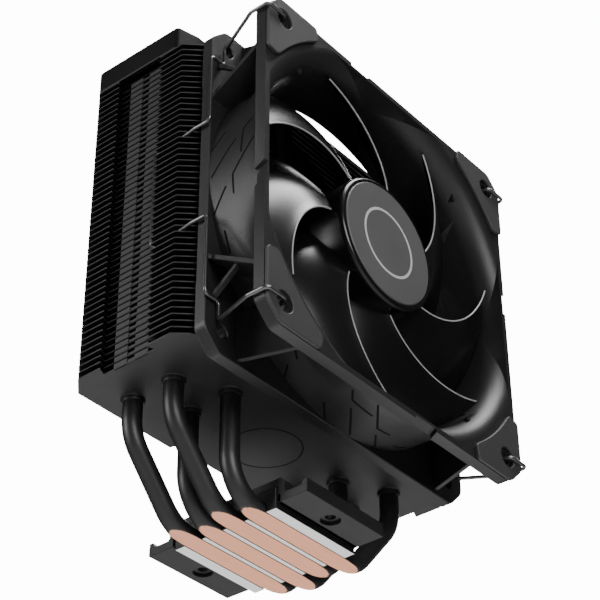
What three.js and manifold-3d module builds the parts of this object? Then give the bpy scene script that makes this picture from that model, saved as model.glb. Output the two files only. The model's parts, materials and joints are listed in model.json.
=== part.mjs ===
// Tower cooler for a processor: a finned heat sink on four bent heat pipes, with one axial fan
// that two sprung wire clips hold against its front.
// Units are millimetres. +Z is up, the fan blows along +Y and +X is to the right seen from the fan.
// The origin is the middle of the contact face that rests on the processor.

import * as THREE from 'three';
import { mergeVertices } from 'three/addons/utils/BufferGeometryUtils.js';
import Module from 'manifold-3d';

const wasm = await Module();
wasm.setup();

// ---- driving dimensions ----

const fit = 0.3; // gap kept between pieces that rest on each other
const overrun = 1; // how far a cutting tool runs past the faces it cuts

const base = {
  halfLength: 17.7, // along X, the way the pipes run
  halfWidth: 18.9,
  height: 6.6,
};

const pipe = {
  diameter: 6,
  pitch: 8, // between neighbours, along Y
  centreHeight: 1, // of the stretch pressed into the base, so its underside is milled flat
  innerReach: 29.6, // X of the nearer riser of a pipe
  outerReach: 44.8, // X of the farther riser
  bendRadius: 14,
  slope: 49.2, // degrees, of the outer riser's slanted stretch
  slopeStart: 19.2, // X where the outer riser leaves the base
  tip: 4, // stands above the top fin, inside the cover
  sides: 8,
  bendSteps: 5,
};

const plate = {
  thickness: 2.6,
  halfLength: 17.3,
  wingHeight: 1.65, // underside of the wings above the contact face
  wingReach: 29.8,
  lipRise: 1.7,
  lipWidth: 1.3,
  screwReach: 24.2,
  screwDiameter: 3.2,
  recessDiameter: 6,
  recessDepth: 1.1,
};

const fin = {
  bottom: 35, // underside of the lowest fin above the contact face
  thickness: 0.4,
  pitch: 2.21,
  count: 50,
  drawnEvery: 2, // every second fin is drawn as a solid
  front: -23.8,
  rear: 21.7,
  halfWidth: 62.5,
  frontHalfWidth: 57.9,
  frontTaper: 4.9,
  rearHalfWidth: 57.4,
  rearTaper: 5,
  notchFront: -9.4, // mouth of the side notch that the clip drops into
  notchRear: 8,
  notchDepth: 3,
  notchHook: 1.2, // how far the notch's front wall leans forward
  notchEase: 1.2,
  tabFront: -5.6,
  tabRear: 5.6,
  tabThickness: 0.5,
};

const cover = {
  height: 9.3,
  wall: 1.6,
  pipeGap: 1.9, // between the front wall and the foremost pipes
  frontHalfWidth: 55,
  frontTaper: 2.9,
  topBevel: 1.2,
};

const fan = {
  size: 120,
  depth: 25,
  lift: 28.6, // lower edge above the contact face
  flange: 3.7,
  cornerCut: 6.5,
  ductRadius: 58,
  ductWall: 1.7,
  mouthRadius: 63.5,
  mouthDepth: 9,
  mouthRound: 2, // the duct is this much wider a third of the way in
  holeSpacing: 105,
  holeDiameter: 4.3,
  ribThickness: 2,
  strutWidth: 5,
  strutDepth: 3,
  strutCount: 4,
  strutOffset: 19.3, // of a strut's middle line from the fan's axis
  strutAngle: 5.7, // degrees the first strut leans away from +X
  baseRadius: 22.5,
  baseThickness: 2.4,
};

const pad = {
  thickness: 1,
  arm: 22, // along each edge of the frame from its corner
  endCut: 3,
  holeDiameter: 6.7,
  mouthGap: 0.6, // from the duct's mouth
};

const hub = {
  radius: 22.3,
  wall: 1.4,
  frontInset: 2, // behind the fan's front face
  depth: 17.6,
  rim: 2.4,
  discRadius: 20.2,
  discDepth: 0.8,
  innerGap: 1, // between the magnet and the poles
};

const blade = {
  count: 7,
  tipClearance: 1.2,
  thickness: 1.6, // at mid-chord
  edgeShare: 0.35, // of that thickness, left at the edges
  frontInset: 4, // leading edge behind the fan's front face
  rearInset: 6, // trailing edge ahead of the fan's rear face
  phase: 22.6, // degrees at which the first blade's leading edge leaves the hub
  sweep: 44, // degrees the tip leads the root
  sweepPower: 1.2, // above 1, the lead grows towards the tip
  pitchPower: 0.9, // below 1, the blade is steeper at its leading edge
  rootWrap: 56, // degrees the blade wraps round the hub
  tipWrap: 41,
  rootSink: 0.8,
  spanSteps: 5,
  chordSteps: 5,
};

const motor = {
  shaftDiameter: 3,
  bushDiameter: 7,
  bushLength: 11,
  tubeWall: 1,
  coreHeight: 5,
  coreRim: 1.6,
  slotCorner: 0.72, // of the slot's reach, where its outer corner stands along both axes
  coilThickness: 2.2,
  coilInset: 2, // behind the core's edge
  coilGap: 2.4, // between neighbouring coils
  coilRim: 1.2,
  magnetThickness: 1.5,
  yokeThickness: 0.8,
  magnetHeight: 9,
  boardThickness: 1,
  boardRadius: 18.5,
  boardLift: 1.6, // above the fan's base
  coilClearance: 0.8, // between the rear coils' room and the board
  clipThickness: 0.5,
  shaftEnd: 0.8, // how far the shaft runs past its bush
  labelInset: 3, // of the label's edge inside the base's edge
  labelThickness: 0.15,
};

const wire = {
  diameter: 1.2,
  bend: 1.6,
  sides: 6,
  bendSteps: 2,
  overhang: 1.2, // centre line outside the frame's side
  hookLength: 3.6,
  hookLean: 1.1, // the hook's bend stands this much nearer the side than its end
  hookInset: 0.2, // of the hook's end from the middle of the hole
  lowLeg: 16, // gap between fins that the lower leg lies in, counted from the bottom
  kink: 6.4,
  kinkStart: 2, // from the hook's height towards the fan's middle
  kinkInset: 4.6,
  notchGap: 0.6, // extra room in front of the wire in the fins' notch
  notchTurn: 1.6, // the leg turns upright over this length
};

// ---- places worked out from them ----

const radians = THREE.MathUtils.degToRad;
const finTop = fin.bottom + (fin.count - 1) * fin.pitch + fin.thickness;
const fanRear = fin.front - pad.thickness - 2 * fit;
const fanFront = fanRear - fan.depth;
const fanCentre = fan.lift + fan.size / 2;
const hubFront = fanFront + hub.frontInset;
const boardFront = fanRear - fan.baseThickness - motor.boardLift - motor.boardThickness;
const coreMiddle = boardFront - motor.coilClearance - motor.coilThickness - motor.coreHeight / 2;

// ---- materials ----

function finish(color, roughness, metalness) {
  return new THREE.MeshStandardMaterial({ color, roughness, metalness });
}

const blackMetal = finish(0x1c1c1d, 0.5, 0.5);
const bareAluminium = finish(0xd8d8d6, 0.35, 1);
const pipeMetal = finish(0x141414, 0.35, 0.6);
const blackPlastic = finish(0x232323, 0.55, 0);
const glossPlastic = finish(0x101010, 0.3, 0);
const softRubber = finish(0x2b2b2b, 0.85, 0);
const springSteel = finish(0x2a2a2a, 0.3, 0.9);
const polishedSteel = finish(0xb8b8b8, 0.2, 1);
const bronze = finish(0x9c7a3c, 0.5, 0.9);
const ferrite = finish(0x3a3a3c, 0.8, 0.1);
const copperWire = finish(0xb4632f, 0.4, 0.7);
const laminatedSteel = finish(0x70757a, 0.5, 0.8);
const boardGreen = finish(0x12402a, 0.5, 0);
const greyFoil = finish(0x666666, 0.6, 0.2);

// ---- helpers ----

const cooler = new THREE.Group();

function add(name, geometry, material) {
  const mesh = new THREE.Mesh(geometry, material);
  mesh.name = name;
  cooler.add(mesh);
  return mesh;
}

// A closed geometry as a manifold solid.
function solid(geometry) {
  const bare = geometry.clone();
  bare.deleteAttribute('normal');
  bare.deleteAttribute('uv');
  const merged = mergeVertices(bare, 1e-4);
  return new wasm.Manifold(new wasm.Mesh({
    numProp: 3,
    vertProperties: new Float32Array(merged.attributes.position.array),
    triVerts: new Uint32Array(merged.index.array),
  }));
}

// A manifold solid as a geometry.
function geometryOf(manifold) {
  const mesh = manifold.getMesh();
  const geometry = new THREE.BufferGeometry();
  geometry.setAttribute('position', new THREE.BufferAttribute(mesh.vertProperties, 3));
  geometry.setIndex(new THREE.BufferAttribute(mesh.triVerts, 1));
  geometry.computeVertexNormals();
  return geometry;
}

function join(pieces) {
  return pieces.reduce((whole, piece) => whole.add(piece));
}

function cut(whole, pieces) {
  return pieces.reduce((rest, piece) => rest.subtract(piece), whole);
}

// A closed outline through [u, v] points.
function outline(points) {
  return new THREE.Shape(points.map(([u, v]) => new THREE.Vector2(u, v)));
}

// Corner points of a regular polygon about (u, v).
function polygon(radius, sides, u = 0, v = 0, turn = 0) {
  return Array.from({ length: sides }, (_, i) => {
    const angle = turn + (2 * Math.PI * i) / sides;
    return [u + radius * Math.cos(angle), v + radius * Math.sin(angle)];
  });
}

// The half outline (u > 0, from rear to front or bottom to top) and its mirror image as one outline.
function mirrored(half) {
  return [...half, ...half.map(([u, v]) => [-u, v]).reverse()];
}

// An X-Y outline extruded upwards from z.
function slabUp(shape, height, z) {
  return new THREE.ExtrudeGeometry(shape, { depth: height, bevelEnabled: false })
    .translate(0, 0, z);
}

// An X-Z outline extruded rearwards from y.
function slabBack(shape, depth, y) {
  return new THREE.ExtrudeGeometry(shape, { depth, bevelEnabled: false })
    .rotateX(Math.PI / 2)
    .translate(0, y + depth, 0);
}

// A Y-Z outline extruded along X, centred on x = 0.
function slabAcross(shape, length) {
  return new THREE.ExtrudeGeometry(shape, { depth: length, bevelEnabled: false })
    .rotateX(Math.PI / 2)
    .rotateZ(Math.PI / 2)
    .translate(-length / 2, 0, 0);
}

// A [radius, y] profile turned about the fan's axis.
function turned(profile, sides) {
  return new THREE.LatheGeometry(profile.map(([r, y]) => new THREE.Vector2(r, y)), sides)
    .translate(0, 0, fanCentre);
}

// A [radius, y] profile that is a plain tube or disc.
function tube(inner, outer, front, rear, sides) {
  const profile = inner > 0
    ? [[inner, front], [outer, front], [outer, rear], [inner, rear], [inner, front]]
    : [[0, front], [outer, front], [outer, rear], [0, rear]];
  return turned(profile, sides);
}

function box(width, depth, height, x, y, z) {
  return new THREE.BoxGeometry(width, depth, height).translate(x, y, z);
}

// A path of straight stretches with round bends: stations stand only where it turns.
class BentPath extends THREE.Curve {
  constructor(corners, bendRadius, stepsPerBend) {
    super();
    this.points = [];
    this.directions = [];
    const last = corners.length - 1;
    corners.forEach((corner, i) => {
      const into = corner.clone().sub(corners[Math.max(i - 1, 0)]).normalize();
      const out = corners[Math.min(i + 1, last)].clone().sub(corner).normalize();
      if (i === 0 || i === last) {
        this.points.push(corner.clone());
        this.directions.push(i === 0 ? out : into);
        return;
      }
      const angle = into.angleTo(out);
      const toCentre = out.clone().addScaledVector(into, -Math.cos(angle)).normalize();
      const start = corner.clone().addScaledVector(into, -bendRadius * Math.tan(angle / 2));
      const centre = start.clone().addScaledVector(toCentre, bendRadius);
      for (let k = 0; k <= stepsPerBend; k++) {
        const turn = (angle * k) / stepsPerBend;
        this.points.push(centre.clone()
          .addScaledVector(toCentre, -bendRadius * Math.cos(turn))
          .addScaledVector(into, bendRadius * Math.sin(turn)));
        this.directions.push(into.clone().multiplyScalar(Math.cos(turn))
          .addScaledVector(toCentre, Math.sin(turn)));
      }
    });
  }

  get steps() {
    return this.points.length - 1;
  }

  getSpacedPoints() {
    return this.points.map((point) => point.clone());
  }

  getTangentAt(u) {
    return this.directions[Math.round(u * this.steps)].clone();
  }
}

// A round bar along a bent path.
function rod(path, radius, sides) {
  return new THREE.ExtrudeGeometry(outline(polygon(radius, sides)), {
    steps: path.steps,
    extrudePath: path,
    bevelEnabled: false,
  });
}

// ---- heat pipes ----

// Pipe 1 is the rearmost. Pipes 1 and 3 reach farther on the left, 2 and 4 on the right.
const pipes = [0, 1, 2, 3].map((i) => ({
  name: `heat_pipe_${i + 1}`,
  y: (1.5 - i) * pipe.pitch,
  far: i % 2 === 0 ? -1 : 1,
}));

// Corners of the outer riser, from the base up: where it starts to slope and where it turns upright.
function outerCorners() {
  const slope = radians(pipe.slope);
  const lowX = pipe.slopeStart + pipe.bendRadius * Math.tan(slope / 2);
  const highZ = pipe.centreHeight + (pipe.outerReach - lowX) * Math.tan(slope);
  return { lowX, highZ };
}

function heatPipe({ y, far }) {
  const { lowX, highZ } = outerCorners();
  const top = finTop + pipe.tip;
  const path = new BentPath([
    new THREE.Vector3(far * pipe.outerReach, y, top),
    new THREE.Vector3(far * pipe.outerReach, y, highZ),
    new THREE.Vector3(far * lowX, y, pipe.centreHeight),
    new THREE.Vector3(-far * pipe.innerReach, y, pipe.centreHeight),
    new THREE.Vector3(-far * pipe.innerReach, y, top),
  ], pipe.bendRadius, pipe.bendSteps);
  const radius = pipe.diameter / 2;
  const below = box(2 * pipe.outerReach, pipe.diameter + 2 * overrun, radius, 0, y, -radius / 2);
  return geometryOf(solid(rod(path, radius, pipe.sides)).subtract(solid(below)));
}

for (const one of pipes) add(one.name, heatPipe(one), pipeMetal);

// ---- base ----

// Radius of a many-sided hole that clears a round bar of the given diameter.
function clearRadius(diameter, sides) {
  return (diameter / 2 + fit) / Math.cos(Math.PI / sides);
}

function baseBlock() {
  const half = mirrored([[base.halfWidth, 0], [base.halfWidth, base.height]]);
  const block = solid(slabAcross(outline(half), 2 * base.halfLength));
  const grooveRadius = clearRadius(pipe.diameter, pipe.sides);
  const grooves = pipes.map(({ y }) => solid(
    slabAcross(outline(polygon(grooveRadius, pipe.sides, y, pipe.centreHeight)), 3 * base.halfLength)));
  return geometryOf(cut(block, grooves));
}

add('base_block', baseBlock(), bareAluminium);

// The plate lies over the block like a hat, and its brims are the wings that the bracket screws hold.
function mountPlate() {
  const roof = base.height + fit;
  const inside = base.halfWidth + fit;
  const wingTop = plate.wingHeight + plate.thickness;
  const lipTop = wingTop + plate.lipRise;
  const half = [
    [inside, roof], [inside, plate.wingHeight], [plate.wingReach, plate.wingHeight],
    [plate.wingReach, lipTop], [plate.wingReach - plate.lipWidth, lipTop],
    [plate.wingReach - 2 * plate.lipWidth, wingTop], [inside + plate.thickness, wingTop],
    [inside, roof + plate.thickness],
  ];
  const body = solid(slabAcross(outline(mirrored(half)), 2 * plate.halfLength));
  const holes = [-1, 1].flatMap((side) => {
    const shank = polygon(plate.screwDiameter / 2, 12, 0, side * plate.screwReach);
    const recess = polygon(plate.recessDiameter / 2, 16, 0, side * plate.screwReach);
    return [
      solid(slabUp(outline(shank), 2 * plate.thickness, plate.wingHeight - overrun)),
      solid(slabUp(outline(recess), plate.recessDepth + overrun, plate.wingHeight - overrun)),
    ];
  });
  return geometryOf(cut(body, holes));
}

add('mount_plate', mountPlate(), blackMetal);

// ---- fins ----

// Half of the fin's edge, from the front edge round to the rear edge.
function finHalf() {
  return [
    [fin.frontHalfWidth, fin.front],
    [fin.halfWidth, fin.front + fin.frontTaper],
    [fin.halfWidth, fin.notchFront],
    [fin.halfWidth - fin.notchDepth, fin.notchFront - fin.notchHook],
    [fin.halfWidth - fin.notchDepth, fin.notchRear + fin.notchEase],
    [fin.halfWidth, fin.notchRear],
    [fin.halfWidth, fin.rear - fin.rearTaper],
    [fin.rearHalfWidth, fin.rear],
  ];
}

// Square holes that clear the round risers.
function pipeHoles() {
  const radius = clearRadius(pipe.diameter, 4);
  return pipes.flatMap(({ y, far }) => [far * pipe.outerReach, -far * pipe.innerReach]
    .map((x) => polygon(radius, 4, x, y, Math.PI / 4)));
}

function finStack() {
  const sheet = solid(slabUp(outline(mirrored(finHalf())), fin.thickness, fin.bottom));
  const tool = fin.thickness + 2 * overrun;
  const one = cut(sheet, pipeHoles().map((points) =>
    solid(slabUp(outline(points), tool, fin.bottom - overrun))));
  const drawn = Math.ceil(fin.count / fin.drawnEvery);
  const step = fin.drawnEvery * fin.pitch;
  const sheets = Array.from({ length: drawn }, (_, i) => one.translate(0, 0, i * step));
  const top = one.translate(0, 0, (fin.count - 1) * fin.pitch);
  const edge = fin.halfWidth - fin.notchDepth;
  const height = finTop - fin.bottom;
  const tabs = [-1, 1].map((side) => solid(box(
    fin.tabThickness, fin.tabRear - fin.tabFront, height,
    side * (edge - fin.tabThickness / 2), (fin.tabFront + fin.tabRear) / 2, fin.bottom + height / 2)));
  return geometryOf(wasm.Manifold.union([...tabs, ...sheets, top]));
}

add('fin_stack', finStack(), blackMetal);

// ---- top cover ----

// The cover's outline at a given inset from its outer edge.
function coverOutline(inset) {
  const foremost = Math.min(...pipes.map(({ y }) => y));
  const front = foremost - pipe.diameter / 2 - cover.pipeGap - cover.wall;
  return outline(mirrored([
    [cover.frontHalfWidth - inset / 2, front + inset],
    [fin.halfWidth - inset, front + cover.frontTaper + inset / 2],
    [fin.halfWidth - inset, fin.rear - fin.rearTaper - inset / 2],
    [fin.rearHalfWidth - inset / 2, fin.rear - inset],
  ]));
}

// The cap is bevelled round its top and open below, where the pipe tips stand up into it.
function topCover() {
  const bottom = finTop + fit;
  const top = finTop + cover.height;
  const bevel = cover.topBevel;
  const lump = new THREE.ExtrudeGeometry(coverOutline(bevel), {
    depth: cover.height, bevelThickness: bevel, bevelSize: bevel, bevelSegments: 1,
  }).translate(0, 0, finTop - bevel);
  const below = box(4 * fin.halfWidth, 4 * fin.halfWidth, cover.height, 0, 0, bottom - cover.height / 2);
  const depth = top - cover.wall - bottom;
  const hollow = slabUp(coverOutline(cover.wall), depth + overrun, bottom - overrun);
  return geometryOf(cut(solid(lump), [solid(below), solid(hollow)]));
}

add('top_cover', topCover(), blackMetal);

// ---- fan frame ----

const holeReach = fan.holeSpacing / 2;
const corners = [[-1, 1], [1, 1], [-1, -1], [1, -1]].map(([sideX, sideZ]) => ({
  sideX,
  sideZ,
  name: `${sideZ > 0 ? 'upper' : 'lower'}_${sideX < 0 ? 'left' : 'right'}`,
}));

function squarePoints() {
  const reach = fan.size / 2;
  const flat = reach - fan.cornerCut;
  return [[-flat, -reach], [flat, -reach], [reach, -flat], [reach, flat],
    [flat, reach], [-flat, reach], [-reach, flat], [-reach, -flat]]
    .map(([u, v]) => [u, v + fanCentre]);
}

function holesAt(diameter, sides, depth, y) {
  return corners.map(({ sideX, sideZ }) => solid(slabBack(outline(
    polygon(diameter / 2, sides, sideX * holeReach, fanCentre + sideZ * holeReach)), depth, y)));
}

// Blades turn inside a duct whose mouth flares into the frame's front corners.
function ductCut() {
  return solid(turned([
    [0, fanFront - overrun], [fan.mouthRadius + overrun, fanFront - overrun],
    [fan.mouthRadius, fanFront],
    [fan.ductRadius + fan.mouthRound, fanFront + fan.mouthDepth / 3],
    [fan.ductRadius, fanFront + fan.mouthDepth], [fan.ductRadius, fanRear + overrun], [0, fanRear + overrun],
  ], 48));
}

// A strut runs nearly as a tangent of the motor's seat, from beside the axis out into the duct's wall.
function strut(angle) {
  const reach = Math.sqrt((fan.ductRadius + fan.ductWall / 2) ** 2 - fan.strutOffset ** 2);
  const bar = box(reach, fan.strutDepth, fan.strutWidth, reach / 2, 0, fan.strutOffset);
  return solid(bar.rotateY(-angle).translate(0, fanRear - fan.strutDepth / 2, fanCentre));
}

// A web from the duct to a corner, standing between the two flanges.
function cornerRib({ sideX, sideZ }) {
  const inner = fan.ductRadius + fan.ductWall / 2;
  const outer = Math.SQRT2 * holeReach - fan.holeDiameter;
  const depth = fan.depth - fan.flange;
  const web = box(outer - inner, depth, fan.ribThickness, (outer + inner) / 2, 0, 0);
  return solid(web.rotateY(-Math.atan2(sideZ, sideX)).translate(0, (fanFront + fanRear) / 2, fanCentre));
}

function fanFrame() {
  const square = outline(squarePoints());
  const flanges = [fanFront, fanRear - fan.flange].map((y) => solid(slabBack(square, fan.flange, y)));
  const wall = solid(tube(0, fan.ductRadius + fan.ductWall, fanFront + overrun, fanRear - overrun, 48));
  const shell = cut(join([...flanges, wall, ...corners.map(cornerRib)]), [
    ductCut(), ...holesAt(fan.holeDiameter, 12, fan.depth + 2 * overrun, fanFront - overrun),
  ]);
  const struts = Array.from({ length: fan.strutCount }, (_, i) =>
    strut(radians(fan.strutAngle) + (2 * Math.PI * i) / fan.strutCount));
  const floor = solid(tube(0, fan.baseRadius, fanRear - fan.baseThickness, fanRear, 32));
  const bushRadius = motor.bushDiameter / 2 + fit;
  const tubeFront = coreMiddle - motor.bushLength / 2;
  const sleeve = solid(tube(0, bushRadius + motor.tubeWall, tubeFront, fanRear - overrun, 20));
  const bore = solid(tube(0, bushRadius, tubeFront - overrun, fanRear - overrun, 20));
  return geometryOf(join([shell, ...struts, floor, sleeve]).subtract(bore));
}

add('fan_frame', fanFrame(), blackPlastic);

// ---- rubber pads ----

// Corner pad: flush with the frame's edges, hollowed to follow the duct's mouth.
function cornerPad({ sideX, sideZ }, y) {
  const reach = fan.size / 2;
  const start = reach - pad.arm;
  const flat = reach - fan.cornerCut;
  const points = [[start, reach], [flat, reach], [reach, flat], [reach, start],
    [reach - pad.endCut, start - pad.endCut / 2], [start - pad.endCut / 2, reach - pad.endCut]];
  const flipped = sideX * sideZ < 0 ? [...points].reverse() : points;
  const shape = outline(flipped.map(([u, v]) => [sideX * u, fanCentre + sideZ * v]));
  const body = solid(slabBack(shape, pad.thickness, y));
  const tool = pad.thickness + 2 * overrun;
  const mouth = solid(tube(0, fan.mouthRadius + pad.mouthGap, y - overrun, y - overrun + tool, 48));
  const hole = solid(slabBack(outline(polygon(
    pad.holeDiameter / 2, 14, sideX * holeReach, fanCentre + sideZ * holeReach)), tool, y - overrun));
  return geometryOf(cut(body, [mouth, hole]));
}

for (const corner of corners) {
  add(`front_pad_${corner.name}`, cornerPad(corner, fanFront - fit - pad.thickness), softRubber);
  add(`rear_pad_${corner.name}`, cornerPad(corner, fanRear + fit), softRubber);
}

// ---- rotor ----

function hubCup() {
  const rear = hubFront + hub.depth;
  const inner = hub.radius - hub.wall;
  const seat = hub.discRadius + fit;
  return solid(turned([
    [0, hubFront + hub.discDepth], [seat, hubFront + hub.discDepth], [seat, hubFront],
    [hub.radius - hub.rim / 2, hubFront], [hub.radius, hubFront + hub.rim],
    [hub.radius, rear], [inner, rear], [inner, hubFront + hub.discDepth + hub.wall],
    [0, hubFront + hub.discDepth + hub.wall],
  ], 36));
}

// One blade as a closed grid: u runs from root to tip and v from the leading to the trailing edge.
function bladeSolid() {
  const { spanSteps, chordSteps } = blade;
  const root = hub.radius - blade.rootSink;
  const tip = fan.ductRadius - blade.tipClearance;
  const front = fanFront + blade.frontInset;
  const travel = fan.depth - blade.frontInset - blade.rearInset;
  const rows = spanSteps + 1;
  const columns = chordSteps + 1;
  const positions = [];
  for (const side of [-1, 1]) {
    for (let i = 0; i < rows; i++) {
      for (let j = 0; j < columns; j++) {
        const u = i / spanSteps;
        const v = j / chordSteps;
        const radius = root + (tip - root) * u;
        const wrap = radians(blade.rootWrap + (blade.tipWrap - blade.rootWrap) * u);
        const angle = radians(blade.phase) + radians(blade.sweep) * u ** blade.sweepPower - wrap * v;
        const share = blade.edgeShare + (1 - blade.edgeShare) * Math.sin(Math.PI * v);
        const y = front + travel * v ** blade.pitchPower + (side * blade.thickness * share) / 2;
        positions.push(radius * Math.cos(angle), y, radius * Math.sin(angle));
      }
    }
  }
  const back = rows * columns;
  const at = (i, j) => i * columns + j;
  const faces = [];
  const quad = (a, b, c, d) => faces.push(a, b, c, a, c, d);
  for (let i = 0; i < spanSteps; i++) {
    for (let j = 0; j < chordSteps; j++) {
      quad(at(i, j), at(i, j + 1), at(i + 1, j + 1), at(i + 1, j));
      quad(back + at(i, j), back + at(i + 1, j), back + at(i + 1, j + 1), back + at(i, j + 1));
    }
    quad(at(i, 0), at(i + 1, 0), back + at(i + 1, 0), back + at(i, 0));
    quad(at(i + 1, chordSteps), at(i, chordSteps), back + at(i, chordSteps), back + at(i + 1, chordSteps));
  }
  for (let j = 0; j < chordSteps; j++) {
    quad(at(0, j + 1), at(0, j), back + at(0, j), back + at(0, j + 1));
    quad(at(spanSteps, j), at(spanSteps, j + 1), back + at(spanSteps, j + 1), back + at(spanSteps, j));
  }
  const geometry = new THREE.BufferGeometry();
  geometry.setAttribute('position', new THREE.Float32BufferAttribute(positions, 3));
  geometry.setIndex(faces);
  return geometry;
}

function impeller() {
  const single = bladeSolid();
  const blades = Array.from({ length: blade.count }, (_, i) => solid(
    single.clone().rotateY((-2 * Math.PI * i) / blade.count).translate(0, 0, fanCentre)));
  const magnetRoom = solid(tube(0, hub.radius - hub.wall, hubFront + hub.discDepth + hub.wall,
    fanRear, 36));
  return geometryOf(join([hubCup(), ...blades]).subtract(magnetRoom));
}

add('impeller', impeller(), glossPlastic);
add('hub_disc', tube(0, hub.discRadius, hubFront - fit, hubFront + hub.discDepth - fit, 36), greyFoil);

const cupFloor = hubFront + hub.discDepth + hub.wall;
const yokeOuter = hub.radius - hub.wall - fit;
const magnetOuter = yokeOuter - motor.yokeThickness - fit;
const yokeRear = cupFloor + 2 * fit + motor.yokeThickness + motor.magnetHeight;

add('rotor_yoke', turned([
  [motor.shaftDiameter, cupFloor + fit], [yokeOuter, cupFloor + fit], [yokeOuter, yokeRear],
  [yokeOuter - motor.yokeThickness, yokeRear],
  [yokeOuter - motor.yokeThickness, cupFloor + fit + motor.yokeThickness],
  [motor.shaftDiameter, cupFloor + fit + motor.yokeThickness], [motor.shaftDiameter, cupFloor + fit],
], 32), laminatedSteel);
add('rotor_magnet', tube(magnetOuter - motor.magnetThickness, magnetOuter,
  cupFloor + 2 * fit + motor.yokeThickness, yokeRear, 32), ferrite);

// ---- bearing and shaft ----

const bushFront = coreMiddle - motor.bushLength / 2 + fit;
const bushRear = bushFront + motor.bushLength;
const shaftRear = bushRear + motor.shaftEnd;

add('rotor_shaft', tube(0, motor.shaftDiameter / 2, cupFloor + fit, shaftRear, 16), polishedSteel);
add('bearing_bush', tube(motor.shaftDiameter / 2 + fit, motor.bushDiameter / 2, bushFront,
  bushRear - motor.clipThickness - fit, 20), bronze);
add('shaft_retainer', tube(motor.shaftDiameter / 2 + fit, motor.bushDiameter / 2,
  bushRear - motor.clipThickness, bushRear, 20), polishedSteel);

// ---- stator ----

const coreBore = motor.bushDiameter / 2 + motor.tubeWall + 2 * fit;
const coreRadius = magnetOuter - motor.magnetThickness - hub.innerGap;

// Four slots leave four poles joined by a hub and a rim.
function statorCore() {
  const front = coreMiddle - motor.coreHeight / 2;
  const tool = motor.coreHeight + 2 * overrun;
  const ring = solid(tube(0, coreRadius, front, front + motor.coreHeight, 32));
  const bore = solid(tube(0, coreBore, front - overrun, front - overrun + tool, 20));
  const near = (coreBore + 2 * motor.coreRim) / Math.SQRT2;
  const far = coreRadius - motor.coreRim;
  const corner = far * motor.slotCorner;
  const slot = outline([[near, near], [far, near], [corner, corner], [near, far]]);
  const slots = [0, 1, 2, 3].map((quarter) => solid(slabBack(slot, tool, front - overrun)
    .rotateY((quarter * Math.PI) / 2).translate(0, 0, fanCentre)));
  return geometryOf(cut(ring, [bore, ...slots]));
}

add('stator_core', statorCore(), laminatedSteel);

// A winding stands before and behind each of the four poles as one block round the pole's neck.
function windingRing(front) {
  const inner = coreBore;
  const outer = coreRadius - motor.coilInset;
  const ring = solid(tube(inner, outer, front, front + motor.coilThickness, 32));
  const gaps = [1, 3].map((eighth) => solid(
    box(3 * outer, motor.coilThickness + 2 * overrun, motor.coilGap, 0, 0, 0)
      .rotateY((eighth * Math.PI) / 4)
      .translate(0, front + motor.coilThickness / 2, fanCentre)));
  const rim = solid(tube(inner, inner + motor.coilRim, front, front + motor.coilThickness, 20));
  return geometryOf(cut(ring, gaps).add(rim));
}

const coilOffset = motor.coreHeight / 2 + fit;

add('winding_front', windingRing(coreMiddle - coilOffset - motor.coilThickness), copperWire);
add('winding_rear', windingRing(coreMiddle + coilOffset), copperWire);
add('circuit_board', tube(coreBore, motor.boardRadius, boardFront,
  boardFront + motor.boardThickness, 32), boardGreen);
add('motor_label', tube(0, fan.baseRadius - motor.labelInset, fanRear + fit,
  fanRear + fit + motor.labelThickness, 32), greyFoil);

// ---- wire clips ----

const wireRadius = wire.diameter / 2;
const legHeights = [wire.lowLeg, fin.count - 2 - wire.lowLeg].map((gap) =>
  fin.bottom + fin.thickness + gap * fin.pitch + (fin.pitch - fin.thickness) / 2);

// Half of the clip's route, from the hook in a front corner hole to the fins; side is -1 or 1 in X.
function clipHalf(side, sideZ, legHeight) {
  const front = fanFront - fit - pad.thickness - fit - wireRadius;
  const reach = fan.size / 2;
  const holeZ = fanCentre + sideZ * holeReach;
  const kinkStart = holeZ - sideZ * wire.kinkStart;
  const kinkEnd = kinkStart - sideZ * wire.kink;
  const flangeFace = fanRear - fan.flange - fit - wireRadius;
  const outside = reach + wire.overhang;
  const grooveX = fin.halfWidth - fin.notchDepth + fit + wireRadius;
  const grooveY = fin.notchFront + wireRadius + fit + wire.notchGap;
  const at = (x, y, z) => new THREE.Vector3(side * x, y, z);
  return [
    at(holeReach - wire.hookInset, front + wire.hookLength, holeZ),
    at(holeReach - wire.hookInset + wire.hookLean, front, holeZ),
    at(outside, front, holeZ),
    at(outside, fanFront + fan.flange + wire.diameter, holeZ),
    at(reach - wire.kinkInset, flangeFace, kinkStart),
    at(reach - wire.kinkInset, flangeFace, kinkEnd),
    at(outside, flangeFace, kinkEnd),
    at(outside, flangeFace, legHeight),
    at(outside, fanRear + wire.diameter, legHeight),
    at(grooveX - wire.notchTurn, grooveY, legHeight),
    at(grooveX, grooveY + wire.hookInset, legHeight),
  ];
}

function wireClip(side) {
  const lower = clipHalf(side, -1, legHeights[0]);
  const upper = clipHalf(side, 1, legHeights[1]);
  const route = [...lower, ...upper.reverse()];
  return rod(new BentPath(route, wire.bend, wire.bendSteps), wireRadius, wire.sides);
}

add('wire_clip_left', wireClip(-1), springSteel);
add('wire_clip_right', wireClip(1), springSteel);

export default cooler;
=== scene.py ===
import json
import math

import bpy
import numpy as np
from mathutils import Matrix, Vector
from mathutils.geometry import tessellate_polygon

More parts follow.
